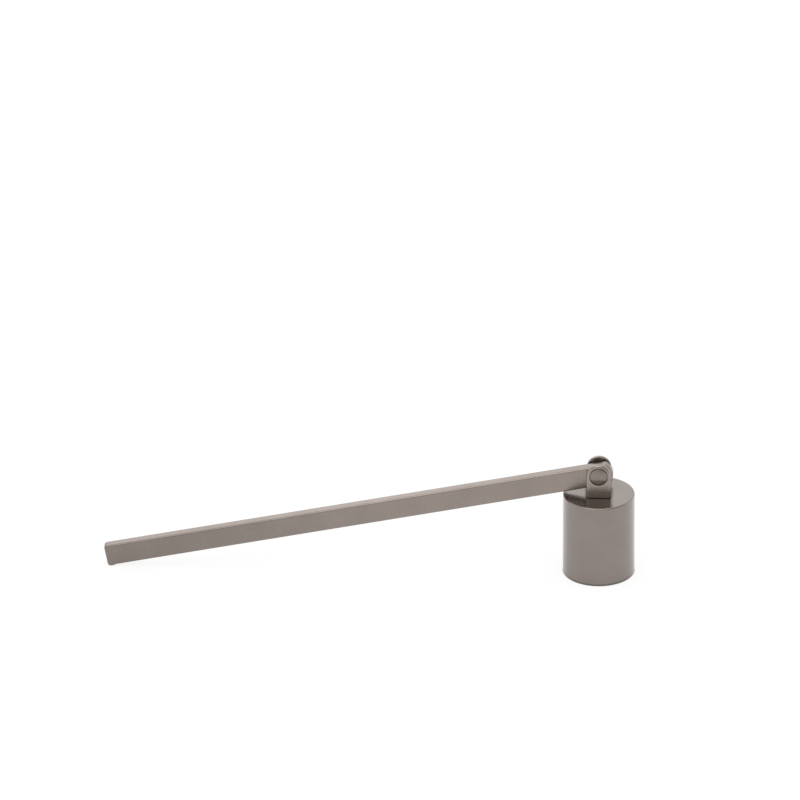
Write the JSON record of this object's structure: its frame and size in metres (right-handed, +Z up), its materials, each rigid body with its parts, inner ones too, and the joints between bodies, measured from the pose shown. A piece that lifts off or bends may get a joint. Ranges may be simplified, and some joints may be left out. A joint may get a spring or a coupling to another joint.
{
  "type": "candle snuffer",
  "caption": "Candle snuffer: a plain mouth-down cylinder cup with a flat bar handle hinged between the ears of a yoke on its roof.",
  "frame": {"origin": "centre of the cup's mouth, in the plane of its rim, which stands on the table", "axes": "+Z up along the cup's axis; the bar runs towards -X and leans down to the table; the hinge pin lies along Y"},
  "size_m": [0.1924, 0.026, 0.0447],
  "materials": {
    "warm_grey_metal": "satin",
    "zinc_steel": "satin",
    "black_nylon": "matte"
  },
  "bodies": {
    "snuffer": {"snuffer_cup": "warm_grey_metal", "hinge_yoke": "warm_grey_metal", "pivot_post": "warm_grey_metal", "pivot_screw": "warm_grey_metal", "front_washer": "black_nylon", "rear_washer": "black_nylon", "yoke_screw": "zinc_steel", "lock_washer": "zinc_steel"},
    "handle": {"handle_bar": "warm_grey_metal"}
  },
  "joints": [
    {"name": "handle_swing", "type": "hinge", "parent": "snuffer", "child": "handle", "pos_m": [0, 0, 0.04017], "axis": [0, 1, 0], "range_deg": [-3, 213]}
  ]
}
